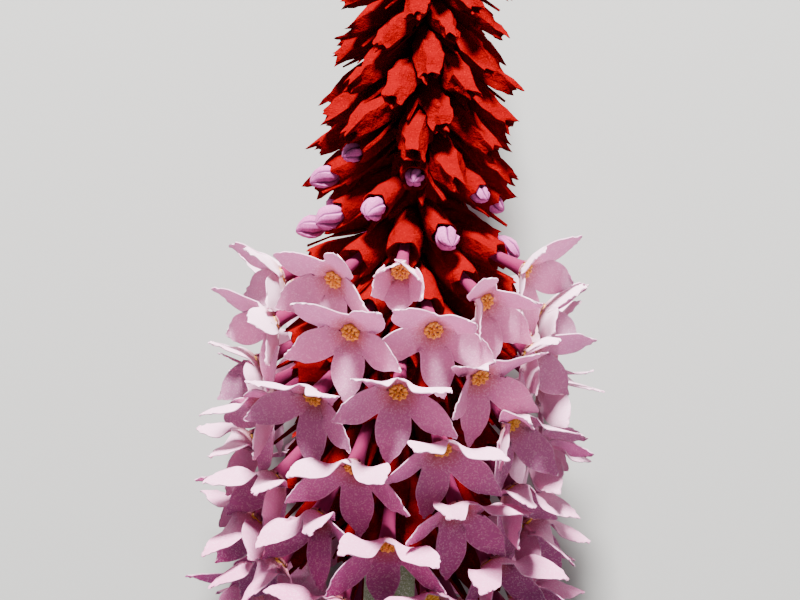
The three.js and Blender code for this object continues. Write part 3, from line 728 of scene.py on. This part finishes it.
def make_calyx(rows, teeth, tip_radius, throat):
    """A ring of ten, drawn out from the core. Every second point is a rib, which ends in its own tooth."""
    piece = start(bpy.ops.mesh.primitive_circle_add, vertices=10, radius=CALYX_STALK,
                  location=(0, 0, CALYX_ROOT))
    for along, rib, valley in rows:
        draw_ring(piece, lambda i: (valley if i % 2 else rib, along))
    rim, _, notch = rows[-1]
    draw_ring(piece, lambda i: (notch if i % 2 else tip_radius, rim + teeth[i]))
    draw_ring(piece, lambda i: (throat + THROAT_FLARE, rim + teeth[i] / 2 - TOOTH_BACK))
    draw_ring(piece, lambda i: (throat, rim - THROAT_DEPTH))
    bpy.ops.mesh.edge_collapse()
    bpy.ops.mesh.select_all(action="SELECT")
    bpy.ops.mesh.normals_make_consistent(inside=False)
    close_edit(piece)
    round_off(piece, 1)
    shoulder = piece.data.attributes.new("shoulder", "FLOAT", "POINT")
    tip = piece.data.attributes.new("tip", "FLOAT", "POINT")
    for v in piece.data.vertices:
        shoulder.data[v.index].value = 1 if CALYX_SHOULDER[0] < v.co.z < CALYX_SHOULDER[1] else 0
        tip.data[v.index].value = ROSY_SHARE * smooth(v.co.z - rim, *ROSY_PART)
    return piece


def press(piece, stations):
    """Flattens a calyx by degrees towards its teeth."""
    for v in piece.data.vertices:
        flat = 1
        for (low, before), (high, after) in zip(stations, stations[1:]):
            if v.co.z > low:
                share = min((v.co.z - low) / (high - low), 1)
                flat = before + (after - before) * share
        v.co.y *= flat


def copies(models, places, name):
    """One mesh with a copy at each of these places, of one model after the other. The models are used up."""
    joined = bmesh.new()
    for i, place in enumerate(places):
        mesh = models[i % len(models)].data.copy()
        mesh.transform(place)
        joined.from_mesh(mesh)
        bpy.data.meshes.remove(mesh)
    mesh = bpy.data.meshes.new(name)
    joined.to_mesh(mesh)
    joined.free()
    for model in models:
        bpy.data.objects.remove(model)
    return bring_in(name, mesh)


def crumple(piece, size):
    """Small uneven dents and bends, the same each time, so that no two copies are alike."""
    for v in piece.data.vertices:
        v.co += noise.noise_vector(v.co * DENTS) * size + noise.noise_vector(v.co * BENDS) * size


def draws(state):
    """The numbers that the source of the solids draws, so that everything stands where its solid does."""
    while True:
        state = (state * 1664525 + 1013904223) % 2**32
        yield state / 2**32


def spread(size):
    """The next draw, as a number from minus to plus this size."""
    return (2 * next(luck) - 1) * size


def blend(low, high, share):
    return low + (high - low) * share


def half_turn(turn):
    return (turn + 180) % 360 - 180


def stand(turn, nod, height):
    """Where something grows from the core: its turn round the spike and its nod below square to it."""
    out = Vector((math.sin(math.radians(turn)), 0, math.cos(math.radians(turn))))
    axis = out * math.cos(math.radians(nod)) - SPIKEWARDS * math.sin(math.radians(nod))
    return stand_on(out * core_radius(height) + SPIKEWARDS * height, axis)


def has_room(turn, height, taken, circle, spacing):
    """Whether a place is clear of those taken, as measured on a circle round the spike."""
    gaps = [math.hypot(math.radians(half_turn(turn - t)) * circle, height - h) for t, h in taken]
    return all(gap >= spacing for gap in gaps)


def drawn_out(place, across, along):
    """The place, with what stands there made wider and longer by these shares."""
    return place @ Matrix.Diagonal((across, across, along, 1))


def lilac_bud_rows():
    """The turn, height, nod and share out of its calyx of each bud: those listed, then a spiral."""
    rows = list(LILAC_BUDS)
    i = 0
    while i * BUD_STEP < BUD_TOP - BUD_BOTTOM:
        height = BUD_TOP - i * BUD_STEP
        turn = half_turn(i * GOLDEN_ANGLE)
        if has_room(turn, height, [row[:2] for row in rows], BUD_CIRCLE, BUD_SPACING):
            out = blend(1, BUD_LEAST_OUT, smooth(height, BUD_BOTTOM, BUD_TOP))
            rows.append((turn, height, BUD_NOD, out))
        i += 1
    return rows


def shut_rows(taken):
    """The turn, height, nod and size of each shut calyx, clear of the buds."""
    rows = []
    for i in range(SHUT_COUNT):
        share = ((i + 0.5) / SHUT_COUNT) ** SHUT_CROWDING
        height = blend(SHUT_BOTTOM, SHUT_TOP, share)
        turn = half_turn(GOLDEN_ANGLE * i + SHUT_FIRST_TURN)
        if not has_room(turn, height, taken, SHUT_CIRCLE, SHUT_SPACING):
            continue
        size = (1 - SHUT_SHRINK * share**SHUT_SHRINK_LATE) * (1 + spread(SHUT_SIZE_VARIES))
        risen = smooth(share, SHUT_RISE_FROM, 1) ** SHUT_RISE_LATE
        nod = blend(*SHUT_NODS, risen) + spread(SHUT_NOD_VARIES)
        rows.append((turn + spread(SHUT_TURN_VARIES), height, nod, size))
    return rows


luck = draws(FIRST_STATE)
for _ in range(DRAWS_BEFORE):
    next(luck)
bud_rows = lilac_bud_rows()
shut_places = []
for turn, height, nod, size in shut_rows([row[:2] for row in bud_rows]):
    shut_places.append(drawn_out(stand(turn, nod, height), SHUT_WIDER * size, SHUT_LONGER * size))
bud_places = []
for turn, height, nod, _ in bud_rows:
    bud_places.append(drawn_out(stand(turn, nod, height), BUD_CALYX_WIDER, BUD_CALYX_LONGER))
flower_places = []
for cad in corollas.values():
    longer = (cad["tube"] + TUBE_IN_CALYX - MOUTH_CLEAR) / OPEN_LENGTH
    root = stand_on(cad["foot"] - cad["axis"] * TUBE_IN_CALYX, cad["axis"])
    flower_places.append(drawn_out(root, FLOWER_CALYX_WIDER, longer))

shut_models = [make_calyx(SHUT_ROWS, teeth, SHUT_TIP_RADIUS, SHUT_THROAT) for teeth in SHUT_TEETH]
for model in shut_models:
    press(model, SHUT_PRESSED)
rolls = [math.radians(SHUT_ROLL * math.sin(i * SHUT_ROLL_STEP)) for i in range(len(shut_places))]
rolled_places = [place @ Matrix.Rotation(roll, 4, "Z") for place, roll in zip(shut_places, rolls)]
shut_calyces = copies(shut_models, rolled_places, "shut_calyces")
crumple(shut_calyces, SHUT_CRUMPLE)
bpy.ops.object.shade_smooth_by_angle(angle=math.radians(30))
hand_over(shut_calyces, "shut_calyces", "calyx", red_tissue)
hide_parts("calyx_spike")
open_models = [make_calyx(OPEN_ROWS, teeth, OPEN_TIP_RADIUS, OPEN_THROAT) for teeth in OPEN_TEETH]
open_calyces = copies(open_models, flower_places + bud_places, "open_calyces")
crumple(open_calyces, OPEN_CRUMPLE)
bpy.ops.object.shade_smooth_by_angle(angle=math.radians(30))
hand_over(open_calyces, "open_calyces", "calyx", red_tissue)

# Bracts. A narrow pointed crimson leaf under each calyx, growing from the core. One flat blade is drawn out,
# thickened, and set below the calyces, each at its own angle.
BRACT_FOOT = -0.8
# distance from the core and half width
BRACT_ROWS = ((0.4, 0.7), (1.2, 0.95), (3.2, 0.8), (5.2, 0.45), (7.0, 0.06))
BRACT_RISE = 0.05  # with each row
BRACT_THICKNESS = 0.22
BRACT_BELOW = 1.15
BRACT_ASIDE = 26  # degrees, either way
BRACT_ASIDE_STEP = 2.4  # radians of a wave, from one bract to the next
BRACT_DROP = 9
BRACT_DROP_VARIES = 7
BRACT_DROP_STEP = 1.7
BRACT_CRUMPLE = 0.3


def make_bract():
    (low, wide), *rows = BRACT_ROWS
    piece = start(bpy.ops.mesh.primitive_plane_add, size=1)
    shape = bmesh.from_edit_mesh(piece.data)
    for v in shape.verts:
        v.co = (math.copysign(wide, v.co.x), 0, low if v.co.y > 0 else BRACT_FOOT)
    bmesh.update_edit_mesh(piece.data)
    pick_edges(piece, lambda e: all(v.co.z > 0 for v in e.verts))
    for along, half_width in rows:
        bpy.ops.mesh.extrude_region_move(TRANSFORM_OT_translate={"value": (0, BRACT_RISE, along - low)})
        bpy.ops.transform.resize(value=(half_width / wide, 1, 1), center_override=(0, 0, 0))
        low, wide = along, half_width
    close_edit(piece)
    thicken(piece, BRACT_THICKNESS, offset=0)
    return piece


def below(place, number):
    """A bract's place under a calyx's: a little to one side, turned away from it by degrees."""
    aside = math.radians(BRACT_ASIDE * math.sin(number * BRACT_ASIDE_STEP))
    drop = math.radians(BRACT_DROP + BRACT_DROP_VARIES * math.sin(number * BRACT_DROP_STEP))
    return (place @ Matrix.Rotation(aside, 4, "Z") @ Matrix.Translation((0, -BRACT_BELOW, 0))
            @ Matrix.Rotation(drop, 4, "X"))


every_place = shut_places + bud_places + flower_places
bracts = copies([make_bract()], [below(place, i) for i, place in enumerate(every_place)], "bracts")
crumple(bracts, BRACT_CRUMPLE)
hand_over(bracts, "bracts", "calyx", red_tissue)

# Lilac buds. The next flowers to open, each a fat bud of five petals rolled over one another, with dark
# seams between them, standing just out of its calyx. A disc is drawn out ring by ring, creased and twisted.
BUD_TWIST = 16  # degrees in a millimetre
BUD_FIFTH = (0.8, 1.06, 1.03, 0.97)  # shares of the radius, from one seam towards the next
# distance from the calyx's mouth and radius
BUD_ROWS = ((-1.5, 0.6), (-0.6, 0.9), (0.2, 1.22), (1.0, 1.32), (1.8, 1.22), (2.5, 0.86), (3.0, 0.4),
            (3.2, 0.12))
BUD_LEAST_SIZE = 0.48
BUD_GROWTH = 0.34  # from just showing to fully out
BUD_SQUAT = 0.85
BUD_SUNK = 2.4
BUD_CRUMPLE = 0.1
BUD_LILAC = "8A2070"
BUD_PALE = "C870A8"
BUD_SEAM_VIOLET = "3E0C38"


def bud_tissue():
    """Petals still rolled up: satin lilac, flecked paler at random, deep violet in the seams."""
    material, shader = new_material("rolled bud", roughness=0.75)
    shader.inputs["Specular IOR Level"].default_value = 0.2
    place = add(material, "ShaderNodeTexCoord").outputs["Object"]
    grain = add(material, "ShaderNodeTexNoise", {"Vector": place, "Scale": 1 / PAPILLA,
                                                 "Detail": 1}).outputs[0]
    lilac = add(material, "ShaderNodeMix", {0: grain, 6: linear(BUD_LILAC), 7: linear(BUD_PALE)},
                data_type="RGBA").outputs[2]
    seam = add(material, "ShaderNodeAttribute", attribute_name="seam").outputs["Fac"]
    dark = add(material, "ShaderNodeMapRange", {0: seam, 1: 0.45, 2: 0.95, 3: 0, 4: 0.9}).outputs[0]
    seamed = add(material, "ShaderNodeMix", {0: dark, 6: lilac, 7: linear(BUD_SEAM_VIOLET)},
                 data_type="RGBA").outputs[2]
    material.node_tree.links.new(seamed, shader.inputs["Base Color"])
    bump = add(material, "ShaderNodeBump", {"Height": grain, "Distance": PAPILLA_HEIGHT, "Strength": 0.5})
    material.node_tree.links.new(bump.outputs[0], shader.inputs["Normal"])
    return material


def make_bud():
    (low, wide), *rows = BUD_ROWS
    points = LOBES * len(BUD_FIFTH)
    piece = start(bpy.ops.mesh.primitive_circle_add, vertices=points, radius=wide, location=(0, 0, low),
                  fill_type="NGON")
    for along, radius in rows:
        bpy.ops.mesh.extrude_region_move(TRANSFORM_OT_translate={"value": (0, 0, along - low)})
        bpy.ops.transform.resize(value=(radius / wide, radius / wide, 1), center_override=(0, 0, 0))
        low, wide = along, radius
    bpy.ops.mesh.select_all(action="SELECT")
    bpy.ops.mesh.normals_make_consistent(inside=False)
    close_edit(piece)
    seam = piece.data.attributes.new("seam", "FLOAT", "POINT")
    for v in piece.data.vertices:
        in_fifth = round(math.atan2(v.co.x, v.co.y) / math.tau * points) % len(BUD_FIFTH)
        v.co.xy *= BUD_FIFTH[in_fifth]
        seam.data[v.index].value = 1 if in_fifth == 0 else 0
        v.co = Matrix.Rotation(math.radians(BUD_TWIST * v.co.z), 4, "Z") @ v.co
    return piece


bud_mouth = OPEN_ROWS[-1][0] * BUD_CALYX_LONGER
sunk_places = []
for turn, height, nod, out in bud_rows:
    sunk = Matrix.Translation((0, 0, bud_mouth - BUD_SUNK * (1 - out)))
    size = BUD_LEAST_SIZE + BUD_GROWTH * out
    sunk_places.append(drawn_out(stand(turn, nod, height) @ sunk, size, BUD_SQUAT * size))
lilac_buds = copies([make_bud()], sunk_places, "lilac_buds")
crumple(lilac_buds, BUD_CRUMPLE)
bpy.ops.object.shade_smooth_by_angle(angle=math.radians(50))
hand_over(lilac_buds, "lilac_buds", "bud", bud_tissue())

# Eyes. The golden throat of each open flower: a crown of plump mealy folds round the mouth of the tube, with
# five anthers round the stigma inside it. One is built up from small balls and set into each mouth.
EYE_RADIUS = 0.66
EYE_WELT = 0.2
EYE_FOLDS = 9
FOLD_WIDTH = 0.24
FOLD_DEPTH = 0.17
FOLD_LENGTH = 0.2
FOLD_VARIES = 0.03
FOLD_LEAN = 20
FOLD_HEIGHT = 0.16
ANTHER_CIRCLE = 0.3
ANTHER_RADIUS = 0.17
ANTHER_LENGTH = 0.3
ANTHER_LEAN = 12
ANTHER_HEIGHT = 0.14
ANTHER_FIRST_TURN = 20
STIGMA_RADIUS = 0.13
STIGMA_HEIGHT = 0.2
EYE_GOLD = "FFC24A"
EYE_AMBER = "C8742A"
POLLEN_GRAIN = 0.16 * MM
POLLEN_HEIGHT = 0.05 * MM


def throat_tissue():
    """Golden throat and ripe anthers: matt, mealy with pollen, amber in the hollows."""
    material, shader = new_material("golden throat", roughness=0.6)
    place = add(material, "ShaderNodeTexCoord").outputs["Object"]
    grain = add(material, "ShaderNodeTexNoise", {"Vector": place, "Scale": 1 / POLLEN_GRAIN,
                                                 "Detail": 1}).outputs[0]
    mealy = add(material, "ShaderNodeMapRange", {0: grain, 1: 0.3, 2: 0.55}).outputs[0]
    gold = add(material, "ShaderNodeMix", {0: mealy, 6: linear(EYE_AMBER), 7: linear(EYE_GOLD)},
               data_type="RGBA").outputs[2]
    material.node_tree.links.new(gold, shader.inputs["Base Color"])
    bump = add(material, "ShaderNodeBump", {"Height": grain, "Distance": POLLEN_HEIGHT, "Strength": 0.7})
    material.node_tree.links.new(bump.outputs[0], shader.inputs["Normal"])
    return material


def add_grain(size, lean, turn, place):
    """Adds one grain to the eye: a small ball, drawn out, leaned outwards and turned to its place."""
    bpy.ops.mesh.select_all(action="DESELECT")
    bpy.ops.mesh.primitive_ico_sphere_add(subdivisions=2, radius=1, location=(0, 0, 0))
    bpy.ops.transform.resize(value=size)
    bpy.ops.transform.rotate(value=-math.radians(lean), orient_axis="Y", center_override=(0, 0, 0))
    bpy.ops.transform.translate(value=place)
    bpy.ops.transform.rotate(value=-math.radians(turn), orient_axis="Z", center_override=(0, 0, 0))


def make_eye():
    piece = start(bpy.ops.mesh.primitive_torus_add, major_segments=18, minor_segments=6,
                  major_radius=EYE_RADIUS, minor_radius=EYE_WELT)
    for k in range(EYE_FOLDS):
        size = (FOLD_WIDTH, FOLD_DEPTH, FOLD_LENGTH + FOLD_VARIES * math.sin(5 * k))
        add_grain(size, FOLD_LEAN, 360 / EYE_FOLDS * k, (EYE_RADIUS, 0, FOLD_HEIGHT))
    for k in range(LOBES):
        size = (ANTHER_RADIUS, ANTHER_RADIUS * 0.8, ANTHER_LENGTH)
        turn = 360 / LOBES * k + ANTHER_FIRST_TURN
        add_grain(size, ANTHER_LEAN, turn, (ANTHER_CIRCLE, 0, ANTHER_HEIGHT))
    add_grain((STIGMA_RADIUS, STIGMA_RADIUS, ANTHER_LENGTH), 0, 0, (0, 0, STIGMA_HEIGHT))
    return close_edit(piece)


eyes = copies([make_eye()], [cad["place"] for cad in corollas.values()], "flower_eyes")
bpy.ops.object.shade_smooth_by_angle(angle=math.radians(60))
hand_over(eyes, "flower_eyes", "eye", throat_tissue())

# Table, light and camera. A plain pale table, one soft lamp beyond the tip of the spike, a weak one from the
# other side, and a camera that looks straight down on the upper part of the spike.
TABLE_SIZE = 3  # metres
TABLE_PALE = "A9A8A5"
ROOM_GREY = "C8CBD2"
ROOM_LIGHT = 0.24
LIT_POINT = (0, 25, 0)
CAMERA_LENS = 148.6
CAMERA_SENSOR = 36
CAMERA_DISTANCE = 300
CAMERA_AIM = (-0.6, 27.27)
CAMERA_ROLL = 3.64


def make_table():
    piece = close_edit(start(bpy.ops.mesh.primitive_plane_add, size=TABLE_SIZE))
    material, shader = new_material("matt pale table", roughness=0.8)
    shader.inputs["Base Color"].default_value = linear(TABLE_PALE)
    piece.name = "table"
    piece.data.materials.append(material)


def lamp(name, watts, size, place):
    """A square lamp, its size in metres, that shines on the middle of the flowers."""
    data = bpy.data.lights.new(name, "AREA")
    data.energy = watts
    data.size = size
    light = bpy.data.objects.new(name, data)
    light.location = TO_FRAME @ Vector(place)
    way = TO_FRAME @ Vector(LIT_POINT) - light.location
    light.rotation_euler = way.to_track_quat("-Z", "Y").to_euler()
    bpy.context.collection.objects.link(light)


make_table()
lamp("key", watts=25.5, size=0.1, place=(-50, 527, 262))
lamp("fill", watts=1.05, size=0.6, place=(350, -250, 400))
world = bpy.data.worlds.new("studio")
bpy.context.scene.world = world
world.use_nodes = True
world.node_tree.nodes["Background"].inputs["Color"].default_value = linear(ROOM_GREY)
world.node_tree.nodes["Background"].inputs["Strength"].default_value = ROOM_LIGHT
camera_data = bpy.data.cameras.new("camera")
camera_data.lens = CAMERA_LENS
camera_data.sensor_width = CAMERA_SENSOR
camera = bpy.data.objects.new("camera", camera_data)
camera.location = TO_FRAME @ Vector((*CAMERA_AIM, CAMERA_DISTANCE))
camera.rotation_euler = (0, 0, math.radians(CAMERA_ROLL))
bpy.context.collection.objects.link(camera)
bpy.context.scene.camera = camera
